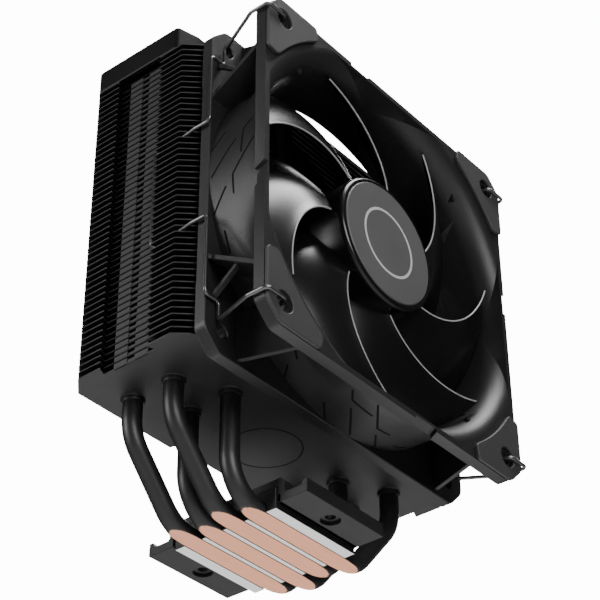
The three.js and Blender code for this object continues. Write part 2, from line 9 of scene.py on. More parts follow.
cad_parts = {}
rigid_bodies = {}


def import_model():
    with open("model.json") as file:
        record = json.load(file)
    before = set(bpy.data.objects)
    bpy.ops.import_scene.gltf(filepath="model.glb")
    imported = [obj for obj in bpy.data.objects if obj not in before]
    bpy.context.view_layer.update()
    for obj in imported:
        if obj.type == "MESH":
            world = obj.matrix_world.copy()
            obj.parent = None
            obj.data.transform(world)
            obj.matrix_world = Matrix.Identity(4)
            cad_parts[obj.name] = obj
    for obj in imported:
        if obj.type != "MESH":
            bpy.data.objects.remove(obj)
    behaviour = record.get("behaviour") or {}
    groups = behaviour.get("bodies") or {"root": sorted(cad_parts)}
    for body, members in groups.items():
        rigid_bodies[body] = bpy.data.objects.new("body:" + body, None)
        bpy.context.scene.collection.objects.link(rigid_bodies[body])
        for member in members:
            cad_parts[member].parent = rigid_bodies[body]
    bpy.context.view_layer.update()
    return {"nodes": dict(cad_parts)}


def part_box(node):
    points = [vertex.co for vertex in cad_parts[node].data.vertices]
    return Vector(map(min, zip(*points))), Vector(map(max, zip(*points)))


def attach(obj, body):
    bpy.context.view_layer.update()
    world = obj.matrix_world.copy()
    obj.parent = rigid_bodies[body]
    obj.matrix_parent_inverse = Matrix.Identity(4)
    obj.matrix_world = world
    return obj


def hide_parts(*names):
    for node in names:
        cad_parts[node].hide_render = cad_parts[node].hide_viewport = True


# Lengths are in millimetres until makePiece turns them into metres.
# x is to the right seen from the fan, y is the way the air goes, z is up from the contact face.

for leftover in list(bpy.data.objects):
    bpy.data.objects.remove(leftover)

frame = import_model()


def nodeBox(node):
    # lowest and highest corner of a CAD node
    return [np.array(corner) * 1000 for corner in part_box(node)]


baseLow, baseHigh = nodeBox("base_block")
plateLow, plateHigh = nodeBox("mount_plate")
finLow = nodeBox("fin_stack")[0]
coverLow, coverHigh = nodeBox("top_cover")
fanLow, fanHigh = nodeBox("fan_frame")
rotorLow, rotorHigh = nodeBox("impeller")
discLow, discHigh = nodeBox("hub_disc")
pipeHigh = nodeBox("heat_pipe_1")[1]
fanCentre = (fanLow[2] + fanHigh[2]) / 2
fanFront, fanRear = fanLow[1], fanHigh[1]
print("frame loaded, fan centre at", round(fanCentre, 2), "mm")

# ---- camera, light and floor ----

cameraSet = {
    "place": (-367.88, -314.92, -261.56),
    "right": (0.634034, -0.77326, -0.008416),
    "ahead": (0.628095, 0.508597, 0.588919),
    "lens": 113.45,
    "shift": (-0.014, -0.0063),
}

lightSet = {  # place, what it looks at, width and height, power in watts
    "leftRear": ((-940, 500, 230), (0, 0, 90), (450, 600), 8),
    "topSoft": ((150, -250, 1100), (0, -30, 90), (600, 500), 14),
    "frontSoft": ((-500, -950, 250), (0, 0, 90), (500, 500), 10),
    "underSoft": ((300, 250, -500), (0, 0, 20), (450, 450), 1.2),
    "rimSoft": ((700, 380, 720), (0, -40, 90), (700, 700), 14),
}

worldSet = {"seen": 14.0, "given": 0.06}
floorSet = {"height": -600, "reach": 4000, "colour": (0.86, 0.86, 0.85), "glow": 1.6}


def addCamera(settings):
    right, ahead = Vector(settings["right"]), Vector(settings["ahead"])
    up = right.cross(ahead)
    camera = bpy.data.objects.new("camera", bpy.data.cameras.new("camera"))
    bpy.context.scene.collection.objects.link(camera)
    turn = Matrix((right, up, -ahead)).transposed().to_4x4()
    camera.matrix_world = Matrix.Translation(Vector(settings["place"]) / 1000) @ turn
    camera.data.lens = settings["lens"]
    camera.data.shift_x, camera.data.shift_y = settings["shift"]
    camera.data.clip_start = 0.01
    bpy.context.scene.camera = camera


def addLight(name, place, target, size, power):
    lamp = bpy.data.lights.new(name, "AREA")
    lamp.shape = "RECTANGLE"
    lamp.size, lamp.size_y = size[0] / 1000, size[1] / 1000
    lamp.energy = power
    light = bpy.data.objects.new(name, lamp)
    bpy.context.scene.collection.objects.link(light)
    light.location = Vector(place) / 1000
    light.rotation_euler = (Vector(target) - Vector(place)).to_track_quat("-Z", "Y").to_euler()


def addWorld(seen, given):
    # the backdrop looks white to the camera, but lights the cooler only faintly
    world = bpy.data.worlds.new("studio")
    bpy.context.scene.world = world
    world.use_nodes = True
    nodes, links = world.node_tree.nodes, world.node_tree.links
    nodes.clear()
    path = nodes.new("ShaderNodeLightPath")
    shown, lit = nodes.new("ShaderNodeBackground"), nodes.new("ShaderNodeBackground")
    shown.inputs["Strength"].default_value, lit.inputs["Strength"].default_value = seen, given
    shown.inputs["Color"].default_value = lit.inputs["Color"].default_value = (1, 1, 1, 1)
    mix, out = nodes.new("ShaderNodeMixShader"), nodes.new("ShaderNodeOutputWorld")
    links.new(path.outputs["Is Camera Ray"], mix.inputs[0])
    links.new(lit.outputs[0], mix.inputs[1])
    links.new(shown.outputs[0], mix.inputs[2])
    links.new(mix.outputs[0], out.inputs[0])


addCamera(cameraSet)
for lampName, lampValues in lightSet.items():
    addLight(lampName, *lampValues)
addWorld(worldSet["seen"], worldSet["given"])
print("camera and lights placed")

# ---- finishes ----


def surfaceGroup():
    # colour = base * (1 + spread * blotch), roughness = base + spread * blotch, height = fine grain
    group = bpy.data.node_groups.new("surfaceVariation", "ShaderNodeTree")
    number = "NodeSocketFloat"
    sockets = (("INPUT", "Vector", "NodeSocketVector"), ("INPUT", "Colour", "NodeSocketColor"),
               ("INPUT", "Colour Spread", number), ("INPUT", "Roughness", number),
               ("INPUT", "Roughness Spread", number), ("INPUT", "Blotch Scale", number),
               ("INPUT", "Grain Scale", number), ("OUTPUT", "Colour", "NodeSocketColor"),
               ("OUTPUT", "Roughness", number), ("OUTPUT", "Height", number))
    for way, name, kind in sockets:
        group.interface.new_socket(name=name, in_out=way, socket_type=kind)
    nodes, links = group.nodes, group.links
    given, out = nodes.new("NodeGroupInput"), nodes.new("NodeGroupOutput")
    blotch, grain = nodes.new("ShaderNodeTexNoise"), nodes.new("ShaderNodeTexNoise")
    blotch.inputs["Detail"].default_value = 4
    grain.inputs["Detail"].default_value = 2
    for noise, scale in ((blotch, "Blotch Scale"), (grain, "Grain Scale")):
        links.new(given.outputs["Vector"], noise.inputs["Vector"])
        links.new(given.outputs[scale], noise.inputs["Scale"])

    def combine(kind, a, b, c=None):
        node = nodes.new("ShaderNodeMath")
        node.operation = kind
        for socket, value in zip(node.inputs, (a, b, c)):
            if isinstance(value, (int, float)):
                socket.default_value = value
            elif value is not None:
                links.new(value, socket)
        return node.outputs[0]

    centred = combine("SUBTRACT", blotch.outputs[0], 0.5)
    fine = combine("SUBTRACT", grain.outputs[0], 0.5)
    both = combine("ADD", centred, fine)
    shade = combine("MULTIPLY_ADD", both, given.outputs["Colour Spread"], 1.0)
    tint = nodes.new("ShaderNodeVectorMath")
    tint.operation = "SCALE"
    links.new(given.outputs["Colour"], tint.inputs[0])
    links.new(shade, tint.inputs["Scale"])
    rough = combine("MULTIPLY_ADD", both, given.outputs["Roughness Spread"], given.outputs["Roughness"])
    links.new(tint.outputs[0], out.inputs["Colour"])
    links.new(rough, out.inputs["Roughness"])
    links.new(grain.outputs[0], out.inputs["Height"])
    return group


variation = surfaceGroup()


def finishMaterial(name, colour, roughness, metallic=0.0, specular=0.5, spread=0.25, roughSpread=0.12,
                   blotch=60.0, grain=2500.0, bump=0.02, stretch=(1, 1, 1)):
    # stretch squeezes the pattern along an axis, so that it turns into brushing lines along the others
    material = bpy.data.materials.new(name)
    material.use_nodes = True
    nodes, links = material.node_tree.nodes, material.node_tree.links
    shader = nodes["Principled BSDF"]
    shader.inputs["Metallic"].default_value = metallic
    shader.inputs["Specular IOR Level"].default_value = specular
    place, stretched, group = (nodes.new(kind) for kind in (
        "ShaderNodeTexCoord", "ShaderNodeMapping", "ShaderNodeGroup"))
    group.node_tree = variation
    stretched.inputs["Scale"].default_value = stretch
    links.new(place.outputs["Object"], stretched.inputs["Vector"])
    links.new(stretched.outputs[0], group.inputs["Vector"])
    values = {"Colour": (*colour, 1), "Colour Spread": spread, "Roughness": roughness,
              "Roughness Spread": roughSpread, "Blotch Scale": blotch, "Grain Scale": grain}
    for socket, value in values.items():
        group.inputs[socket].default_value = value
    dents = nodes.new("ShaderNodeBump")
    dents.inputs["Strength"].default_value = bump
    dents.inputs["Distance"].default_value = 0.001
    links.new(group.outputs["Height"], dents.inputs["Height"])
    links.new(group.outputs["Colour"], shader.inputs["Base Color"])
    links.new(group.outputs["Roughness"], shader.inputs["Roughness"])
    links.new(dents.outputs[0], shader.inputs["Normal"])
    return material


finish = {
    "finCoat": finishMaterial("fin coat", (0.013, 0.013, 0.0133), 0.5, specular=0.4, bump=0.03),
    # painted shade: a darker copy of the fin coat for the fins above the lowest, where shade falls between
    # them
    "finPaintedShade": finishMaterial("fin coat, painted shade between fins", (0.005, 0.005, 0.005), 0.5, specular=0.2, bump=0.03),
    # painted highlight: a lighter copy of the fin coat on the fins' upright edges
    "finEdgeHighlight": finishMaterial("fin edge, painted highlight", (0.024, 0.024, 0.0245), 0.5, specular=0.4, bump=0.05),
    "coverCoat": finishMaterial("cover coat", (0.004, 0.004, 0.004), 0.35, specular=0.25, bump=0.03),
    "plateCoat": finishMaterial("plate coat", (0.01, 0.01, 0.0102), 0.5, specular=0.32, bump=0.05),
    "pipeLacquer": finishMaterial("pipe lacquer", (0.008, 0.008, 0.008), 0.44, bump=0.02),
    "milledCopper": finishMaterial("milled copper", (0.98, 0.43, 0.26), 0.6, metallic=0.1, spread=0.22,
                                   bump=0.06, stretch=(1, 8, 1)),
    "milledAluminium": finishMaterial("milled aluminium", (0.93, 0.93, 0.93), 0.55, metallic=0.1, spread=0.06,
                                      bump=0.08, stretch=(1, 8, 1)),
    "framePlastic": finishMaterial("frame plastic", (0.011, 0.011, 0.0113), 0.42, specular=0.4, bump=0.12,
                                   grain=3500),
    # painted shade: darker than the frame plastic and the fin coat, laid as thin strips where grooves and
    # pressed lines are
    "paintedGrooveShade": finishMaterial("groove, painted shade", (0.004, 0.004, 0.004), 0.8, specular=0.1),
    "rotorPlastic": finishMaterial("rotor plastic", (0.003, 0.003, 0.0031), 0.24, specular=0.38,
                                   roughSpread=0.05, bump=0.01),
    # painted highlight: a light grey that stands in for reflections on the cover's bevel and on the blades'
    # rounded leading edges
    "paintedEdgeHighlight": finishMaterial("painted edge highlight", (0.3, 0.3, 0.303), 0.35, spread=0.4, blotch=200.0),
    "padRubber": finishMaterial("pad rubber", (0.024, 0.024, 0.024), 0.6, bump=0.15, grain=3000),
    "discFoil": finishMaterial("disc foil", (0.065, 0.065, 0.066), 0.5, bump=0.08, grain=3000),
    "ringPrint": finishMaterial("ring print", (0.42, 0.42, 0.42), 0.5),
    "springWire": finishMaterial("spring wire", (0.12, 0.12, 0.12), 0.3, metallic=0.9),
    "polishedSteel": finishMaterial("polished steel", (0.6, 0.6, 0.6), 0.2, metallic=1, spread=0.05,
                                    stretch=(1, 30, 1)),
    "sinteredBronze": finishMaterial("sintered bronze", (0.5, 0.33, 0.14), 0.5, metallic=0.9, bump=0.2),
    "ferrite": finishMaterial("ferrite", (0.05, 0.05, 0.055), 0.8, bump=0.2),
    "copperCoil": finishMaterial("copper coil", (0.55, 0.22, 0.1), 0.35, metallic=0.8, stretch=(1, 12, 1)),
    "laminatedSteel": finishMaterial("laminated steel", (0.35, 0.36, 0.38), 0.45, metallic=0.9,
                                     stretch=(1, 25, 1)),
    "boardMask": finishMaterial("board mask", (0.02, 0.09, 0.05), 0.35, spread=0.4),
    "floorPaint": finishMaterial("floor paint", floorSet["colour"], 0.7, spread=0.03, blotch=3, grain=40),
}
print("finishes made:", len(finish))

# ---- shapes ----


def gridQuads(rows, columns, closedRows=False):
    # quads between neighbouring rows of a grid whose columns run round and meet
    r, c = np.meshgrid(np.arange(rows if closedRows else rows - 1), np.arange(columns), indexing="ij")
    r2, c2 = (r + 1) % rows, (c + 1) % columns
    corners = (r * columns + c, r2 * columns + c, r2 * columns + c2, r * columns + c2)
    return np.stack(corners, -1).reshape(-1, 4)


def outward(points, faces):
    # the signed volume is a sixth of the sum of a . (b x c) over the triangles; below zero is inside out
    corners = np.concatenate([f[:, [0, k, k + 1]] for f in faces for k in range(1, f.shape[1] - 1)])
    a, b, c = (points[corners[:, k]] for k in range(3))
    volume = np.einsum("ij,ij->i", a, np.cross(b, c)).sum()
    return points, faces if volume > 0 else [f[:, ::-1] for f in faces]


def loft(rings, closed=False):
    # rings (rows, columns, 3) joined in order; open ends are filled with a fan to the ring's middle
    rings = np.asarray(rings, float)
    rows, columns = rings.shape[:2]
    points, faces = rings.reshape(-1, 3), [gridQuads(rows, columns, closed)]
    if not closed:
        here = np.arange(columns)
        after, hub, last = (here + 1) % columns, np.full(columns, rows * columns), (rows - 1) * columns
        points = np.vstack([points, rings[0].mean(0), rings[-1].mean(0)])
        faces += [np.stack([hub, here, after], -1), np.stack([hub + 1, last + after, last + here], -1)]
    return outward(points, faces)


def merged(shells):
    # several shells as one list of points and faces
    points, faces, start = [], [], 0
    for shellPoints, shellFaces in shells:
        points.append(shellPoints)
        faces += [f + start for f in shellFaces]
        start += len(shellPoints)
    return np.vstack(points), faces


def repeated(shell, offsets):
    # copies of one shell moved by each row of offsets
    points, faces = shell
    offsets = np.asarray(offsets, float)
    starts = np.arange(len(offsets)) * len(points)
    moved = (points[None] + offsets[:, None]).reshape(-1, 3)
    return moved, [(f[None] + starts[:, None, None]).reshape(-1, f.shape[1]) for f in faces]


def turned(shell, degrees):
    # the shell turned about the fan's axis
    points, faces = shell
    a = math.radians(degrees)
    x, z = points[:, 0], points[:, 2] - fanCentre
    return np.stack([x * math.cos(a) - z * math.sin(a), points[:, 1],
                     x * math.sin(a) + z * math.cos(a) + fanCentre], -1), faces


def aroundAxis(shell, count):
    # equal copies of the shell all the way round the fan's axis
    return [turned(shell, k * 360 / count) for k in range(count)]


def aboutAxis(radius, angle, depth):
    # points at a radius and an angle about the fan's axis, and at a depth behind the frame's front face
    radius, angle, depth = np.broadcast_arrays(radius, angle, depth)
    return np.stack([radius * np.cos(angle), fanFront + depth, fanCentre + radius * np.sin(angle)], -1)


def wound(loop, sign):
    # the loop with its area positive (counter-clockwise) or negative
    loop = np.asarray(loop, float)
    area = (loop[:, 0] * np.roll(loop[:, 1], -1) - np.roll(loop[:, 0], -1) * loop[:, 1]).sum()
    return loop if area * sign > 0 else loop[::-1]


def inset(loop, amount):
    # every corner moves along the bisector, so that the edges move by amount to their left
    into = loop - np.roll(loop, 1, 0)
    out = np.roll(loop, -1, 0) - loop
    into, out = (d / np.linalg.norm(d, axis=1, keepdims=True) for d in (into, out))
    left = np.stack([-into[:, 1] - out[:, 1], into[:, 0] + out[:, 0]], -1)
    return loop + amount * left / (1 + (into * out).sum(1, keepdims=True)).clip(0.3)


def upright(u, v, w):
    return np.stack([u, v, w], -1)


def rearward(u, v, w):
    return np.stack([u, w, v], -1)


def sideways(u, v, w):
    return np.stack([w, u, v], -1)


def sheet(loops, levels, place=upright, farLoops=None):
    # a flat piece with holes: each level is (inset, height), so the first and last may be bevelled;
    # with farLoops the outline passes from loops at the first height to farLoops at the last
    loops = [wound(loop, 1 if i == 0 else -1) for i, loop in enumerate(loops)]
    farLoops = [wound(loop, 1 if i == 0 else -1) for i, loop in enumerate(farLoops or loops)]
    first, last = levels[0][1], levels[-1][1]
    heights = [np.vstack([inset(near + (far - near) * (height - first) / (last - first), amount)
                          for near, far in zip(loops, farLoops)]) for amount, height in levels]
    total = len(heights[0])
    points = np.vstack([place(ring[:, 0], ring[:, 1], np.full(total, height))
                        for ring, (_, height) in zip(heights, levels)])
    faces, start = [], 0
    for loop in loops:
        here = start + np.arange(len(loop))
        after = start + (np.arange(len(loop)) + 1) % len(loop)
        for k in range(len(levels) - 1):
            faces.append(np.stack([here, after, after + total, here + total], -1) + k * total)
        start += len(loop)
    for ring, first, flip in ((heights[0], 0, True), (heights[-1], (len(levels) - 1) * total, False)):
        polygons, start = [], 0
        for loop in loops:
            polygons.append([Vector((u, v, 0)) for u, v in ring[start:start + len(loop)]])
            start += len(loop)
        fill = np.array(tessellate_polygon(polygons))
        a, b, c = (ring[fill[:, k]] for k in range(3))
        turn = (b[:, 0] - a[:, 0]) * (c[:, 1] - a[:, 1]) - (b[:, 1] - a[:, 1]) * (c[:, 0] - a[:, 0])
        fill = np.where(((turn > 0) != flip)[:, None], fill, fill[:, ::-1])
        faces.append(fill + first)
    return outward(points, faces)


def bevelled(amount, low, high):
    # a sheet's levels from low to high, with both ends bevelled
    return [(amount, low), (0, low + amount), (0, high - amount), (amount, high)]


def circle(radius, sides, u=0.0, v=0.0):
    a = np.arange(sides) * 2 * math.pi / sides
    return np.stack([u + radius * np.cos(a), v + radius * np.sin(a)], -1)


def rounded(corners, radii, steps=4):
    # an outline whose corners are arcs that touch both edges, r * tan(angle / 2) from the corner
    corners = np.asarray(corners, float)
    radii = np.broadcast_to(np.asarray(radii, float), (len(corners),))
    into = corners - np.roll(corners, 1, 0)
    out = np.roll(corners, -1, 0) - corners
    into, out = (d / np.linalg.norm(d, axis=1, keepdims=True) for d in (into, out))
    cross = into[:, 0] * out[:, 1] - into[:, 1] * out[:, 0]
    angle = np.arccos(np.clip((into * out).sum(1), -1, 1))
    side = np.stack([-into[:, 1], into[:, 0]], -1) * np.sign(cross)[:, None]
    start = corners - into * (radii * np.tan(angle / 2))[:, None]
    phi = angle[:, None] * np.linspace(0, 1, steps + 1)
    arc = into[:, None] * np.sin(phi)[..., None] + side[:, None] * (1 - np.cos(phi))[..., None]
    return (start[:, None] + arc * radii[:, None, None]).reshape(-1, 2)


def bentPath(corners, radius, steps):
    # straight stretches joined by round bends, as stations along the line
    corners = np.asarray(corners, float)
    into = corners[1:-1] - corners[:-2]
    out = corners[2:] - corners[1:-1]
    into, out = (d / np.linalg.norm(d, axis=1, keepdims=True) for d in (into, out))
    cosine = (into * out).sum(1, keepdims=True)
    angle = np.arccos(np.clip(cosine, -1, 1))
    side = out - into * cosine
    side /= np.linalg.norm(side, axis=1, keepdims=True)
    start = corners[1:-1] - into * radius * np.tan(angle / 2)
    phi = angle * np.linspace(0, 1, steps + 1)
    bends = start[:, None] + radius * (into[:, None] * np.sin(phi)[..., None]
                                       + side[:, None] * (1 - np.cos(phi))[..., None])
    return np.vstack([corners[:1], bends.reshape(-1, 3), corners[-1:]])


def wireAlong(stations, radius, sides):
    # a circle carried along the stations, square to them; a fixed slanted direction sets its start
    along = np.gradient(stations, axis=0)
    along /= np.linalg.norm(along, axis=1, keepdims=True)
    side = np.cross(along, (0.31, 0.52, 0.79))
    side /= np.linalg.norm(side, axis=1, keepdims=True)
    up = np.cross(side, along)
    a = np.arange(sides) * 2 * math.pi / sides
    ring = np.cos(a)[None, :, None] * side[:, None] + np.sin(a)[None, :, None] * up[:, None]
    return loft(stations[:, None] + radius * ring)


def lathe(profile, segments, closed=True):
    # [radius, y] carried round the fan's axis
    profile = np.asarray(profile, float)
    a = np.arange(segments) * 2 * math.pi / segments
    r, y = profile[:, :1], profile[:, 1:]
    rings = np.stack([r * np.cos(a), y + 0 * a, fanCentre + r * np.sin(a)], -1)
    return loft(rings, closed)


def brick(low, high, bevel):
    # a straight block with small bevels along its edges
    (x0, y0, z0), (x1, y1, z1) = low, high
    loop = [[x0, y0], [x1, y0], [x1, y1], [x0, y1]]
    return sheet([loop], bevelled(bevel, z0, z1))


def makePiece(name, shells, material, body, replaced=(), sharp=35, extra=None):
    # extra is (material, function) for a second finish: the function takes the corners of many faces and
    # says which of them get it
    points, faces = merged(shells)
    corners = np.concatenate([f.ravel() for f in faces])
    sizes = np.concatenate([np.full(len(f), f.shape[1]) for f in faces])
    mesh = bpy.data.meshes.new(name)
    mesh.vertices.add(len(points))
    mesh.vertices.foreach_set("co", (points / 1000).astype(np.float32).ravel())
    mesh.loops.add(len(corners))
    mesh.loops.foreach_set("vertex_index", corners.astype(np.int32))
    mesh.polygons.add(len(sizes))
    mesh.polygons.foreach_set("loop_start", np.concatenate([[0], np.cumsum(sizes)[:-1]]).astype(np.int32))
    mesh.polygons.foreach_set("use_smooth", np.ones(len(sizes), bool))
    mesh.materials.append(material)
    if extra:
        mesh.materials.append(extra[0])
        masks = np.concatenate([extra[1](points[f]) for f in faces])
        mesh.polygons.foreach_set("material_index", masks.astype(np.int32))
    mesh.update(calc_edges=True)
    mesh.validate()
    mesh.set_sharp_from_angle(angle=math.radians(sharp))
    piece = bpy.data.objects.new(name, mesh)
    bpy.context.scene.collection.objects.link(piece)
    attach(piece, body)
    if replaced:
        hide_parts(*replaced)
    print(name, len(sizes), "faces")


def atContact(faces):
    # the faces that lie in the contact face, z = 0
    return faces[..., 2].max(1) < 1e-5


# ---- heat pipes ----

pipeSet = {
    "radius": 3.0, "pitch": 8.0, "centreHeight": 1.0, "innerReach": 29.6, "outerReach": 44.8,
    "bend": 14.0, "slope": 49.2, "slopeStart": 19.2, "steps": 44, "belowTop": 0.5,
    "flatSpread": 0.06, "spreadHeight": 6.0, "flatEdge": 0.35, "flatSides": 8, "roundSides": 33,
}
pipeRows = [((1.5 - i) * pipeSet["pitch"], -1 if i % 2 == 0 else 1) for i in range(4)]


def pipeStations(y, far):
    # the U of one pipe, from the top of its far riser down, along the base and up its near riser
    p = pipeSet
    lowX = p["slopeStart"] + p["bend"] * math.tan(math.radians(p["slope"]) / 2)
    highZ = p["centreHeight"] + (p["outerReach"] - lowX) * math.tan(math.radians(p["slope"]))
    top = pipeHigh[2] - p["belowTop"]
    corners = [(far * p["outerReach"], y, top), (far * p["outerReach"], y, highZ),
               (far * lowX, y, p["centreHeight"]), (-far * p["innerReach"], y, p["centreHeight"]),
               (-far * p["innerReach"], y, top)]
    return bentPath(corners, p["bend"], p["steps"])


def pipeShell(y, far):
    # a circle carried along the U; what would lie below the contact face is pressed up flat to z = 0,
    # and the ring's samples are spread so that two of them fall on the flat's edges
    p = pipeSet
    stations = pipeStations(y, far)
    along = np.gradient(stations, axis=0)
    along /= np.linalg.norm(along, axis=1, keepdims=True)
    down = np.stack([along[:, 2], np.zeros(len(along)), -along[:, 0]], -1) * far
    reach = np.clip(stations[:, 2] / (p["radius"] * np.abs(down[:, 2]).clip(1e-6)), -1, 1)
    edge = np.maximum(np.arccos(reach), p["flatEdge"])[:, None]
    rest = edge + (2 * math.pi - 2 * edge) * np.linspace(0, 1, p["roundSides"] + 1)[1:-1]
    a = np.hstack([edge * np.linspace(-1, 1, p["flatSides"] + 1), rest])
    low = np.clip((p["centreHeight"] + p["spreadHeight"] - stations[:, 2]) / p["spreadHeight"], 0, 1)
    wide = 1 + p["flatSpread"] * low[:, None, None]
    across = np.array([0.0, 1.0, 0.0])
    rings = stations[:, None] + p["radius"] * (np.cos(a)[..., None] * down[:, None]
                                               + wide * np.sin(a)[..., None] * across)
    rings[..., 2] = rings[..., 2].clip(0)
    return loft(rings)


for i, (y, far) in enumerate(pipeRows):
    makePiece(f"pipe_{i + 1}", [pipeShell(y, far)], finish["pipeLacquer"], "heat_sink",
              [f"heat_pipe_{i + 1}"], extra=(finish["milledCopper"], atContact))


collarSet = {  # the profile is (radius, height from the collar's top), down the inside and up the outside
    "sides": 28, "sink": 0.1,
    "profile": [(3.05, 0), (3.05, -1.6), (3.35, -1.6), (3.45, -1.4), (3.5, -0.3), (3.75, 0)],
}
risers = [(x, y) for y, far in pipeRows
          for x in (far * pipeSet["outerReach"], -far * pipeSet["innerReach"])]


def collarShell(x, y):
    # the lowest fin's neck round a pipe, flared where it leaves the fin
    top, sides = finLow[2] + collarSet["sink"], collarSet["sides"]
    rings = [upright(*circle(radius, sides, x, y).T, np.full(sides, top + height))
             for radius, height in collarSet["profile"]]
    return loft(rings, closed=True)


makePiece("fin_collars", [collarShell(x, y) for x, y in risers], finish["pipeLacquer"], "heat_sink")

# ---- base ----

baseSet = {"grooveWidth": 3.55, "grooveHeight": 3.15, "grooveSteps": 19, "bevel": 0.15}


def baseShell():
    # block outline in y and z with a rounded groove for every pipe, carried along x
    b = baseSet
    low = math.asin(pipeSet["centreHeight"] / b["grooveHeight"])
    a = np.linspace(math.pi + low, -low, b["grooveSteps"])
    grooves = [np.stack([y + b["grooveWidth"] * np.cos(a),
                         pipeSet["centreHeight"] + b["grooveHeight"] * np.sin(a)], -1)
               for y in sorted(row[0] for row in pipeRows)]
    outline = np.vstack([[[baseLow[1], 0]], *grooves, [[baseHigh[1], 0], [baseHigh[1], baseHigh[2]],
                                                       [baseLow[1], baseHigh[2]]]])
    return sheet([outline], bevelled(b["bevel"], baseLow[0], baseHigh[0]), sideways)


makePiece("base", [baseShell()], finish["plateCoat"], "heat_sink", ["base_block"],
          extra=(finish["milledAluminium"], atContact))

plateSet = {
    "clear": 0.3, "foot": 1.2, "wall": 2.6, "fillet": 0.8, "shoulder": (1.0, 1.6), "wingTop": 4.25,
    "bevel": 0.15, "wingBevel": 0.12, "overlap": 0.05, "screwReach": 24.2, "holeRadius": 1.6,
    "recessRadius": 3.0, "recessDepth": 1.1, "lip": [(0, 0), (0, 1.7), (-1.3, 1.7), (-2.4, 0)],
}


def plateShells():
    # hat-shaped sheet carried along x, and on each side a wing with a stepped hole and a lip at its edge
    p = plateSet
    inner, roof = baseHigh[1] + p["clear"], baseHigh[2] + p["clear"]
    foot, wall, (across, down) = inner + p["foot"], inner + p["wall"], p["shoulder"]
    half = np.array([[inner, roof], [inner, plateLow[2]], [foot, plateLow[2]], [foot, p["wingTop"]],
                     [wall + p["fillet"], p["wingTop"]], [wall, p["wingTop"] + p["fillet"]],
                     [wall, plateHigh[2] - down], [inner + across, plateHigh[2]]])
    hat = np.vstack([half, half[::-1] * [-1, 1]])
    ends = bevelled(p["bevel"], plateLow[0], plateHigh[0])
    step = plateLow[2] + p["recessDepth"]
    lip = np.array(p["lip"]) + [plateHigh[1], p["wingTop"] - p["overlap"]]
    shells = [sheet([hat], ends, sideways)]
    for side in (-1, 1):
        near, far, y = side * (inner + p["overlap"]), side * plateHigh[1], side * p["screwReach"]
        wing = [[plateLow[0], near], [plateHigh[0], near], [plateHigh[0], far], [plateLow[0], far]]
        shells.append(sheet([wing, circle(p["recessRadius"], 36, 0, y)],
                            [(p["wingBevel"], plateLow[2]), (0, plateLow[2] + p["wingBevel"]), (0, step)]))
        shells.append(sheet([wing, circle(p["holeRadius"], 28, 0, y)], [(0, step), (0, p["wingTop"])]))
        shells.append(sheet([lip * [side, 1]], ends, sideways))
    return shells


makePiece("mounting_plate", plateShells(), finish["plateCoat"], "heat_sink", ["mount_plate"])

# ---- fins ----

finSet = {
    "thickness": 0.4, "pitch": 2.21, "count": 50, "holeRadius": 3.1, "holeSides": 18, "cornerRound": 0.12,
    "half": [(57.9, -23.8), (62.5, -18.9), (62.5, -9.4), (59.6, -10.6), (59.5, 9.2), (62.5, 8.0),
             (62.5, 16.7), (57.4, 21.7), (18.8, 21.7), (18.3, 19.8)],
    "cutOuts": [[(16.0, 10.1), (23.4, 9.9), (21.6, 14.2)], [(16.1, 15.8), (19.6, 15.3), (18.0, 17.1)]],
    # inside the notch the fins' edges keep the dark coat as painted shade
    "notch": ((61, 62.6), (-11, 9.4)),  # reach of its inner and outer edge, and front and rear end
    "tabBevel": 0.05,
    "tabColumns": [(-7.6, -2.45, 59.05, 59.5, 0.0, 0.22), (0.45, 5.5, 59.05, 59.5, 0.0, 0.22),
                   (-2.2, 0.2, 59.0, 59.3, 0.0, 0.8)],  # rear and front edge, depth, bottom and top gap
}


def finOutline():
    half = np.array(finSet["half"])
    outline = np.vstack([half, half[::-1] * [-1, 1]])
    return rounded(outline, finSet["cornerRound"], 1)


def highlightedEdgeFaces(faces):
    # the faces that stand upright, which get the lighter coat as a painted highlight, apart from the fins'
    # own edges inside the side notches, which stay dark as painted shade
    x, y, height = np.abs(faces[..., 0]), faces[..., 1], np.ptp(faces[..., 2], axis=1)
    (inner, outer), (start, end) = finSet["notch"]
    notched = (x.min(1) < inner) & (x.max(1) < outer) & (y.min(1) > start) & (y.max(1) < end)
    return (height > finSet["thickness"] / 2) & ~(notched & (height < 2 * finSet["thickness"]))


def finShells():
    # one fin repeated up the stack, and the lowest one by itself with the small cut-outs
    f = finSet
    holes = [circle(f["holeRadius"], f["holeSides"], x, y) for x, y in risers]
    levels = [(0, finLow[2]), (0, finLow[2] + f["thickness"])]
    cuts = [np.array(cut) for cut in f["cutOuts"]]
    lowest = sheet([finOutline(), *holes, *cuts], levels)
    plain = sheet([finOutline(), *holes], levels)
    rises = np.arange(1, f["count"]) * f["pitch"]
    return lowest, repeated(plain, np.stack([0 * rises, 0 * rises, rises], -1))


def tabShells():
    # folded tabs, one tile for each gap between fins, in columns down both sides
    f = finSet
    rises = np.arange(f["count"] - 1) * f["pitch"]
    offsets = np.stack([0 * rises, 0 * rises, rises], -1)
    shells = []
    for y0, y1, x0, x1, lowGap, highGap in f["tabColumns"]:
        z0, z1 = finLow[2] + lowGap, finLow[2] + f["pitch"] - highGap
        for side in (-1, 1):
            low, high = sorted((side * x0, side * x1))
            shells.append(repeated(brick((low, y0, z0), (high, y1, z1), f["tabBevel"]), offsets))
    return shells


lowestFin, otherFins = finShells()
# upright edges of every fin get the lighter coat as a painted highlight, apart from the notch edges, left
# dark as painted shade
makePiece("lowest_fin", [lowestFin], finish["finCoat"], "heat_sink",
          extra=(finish["finEdgeHighlight"], highlightedEdgeFaces))
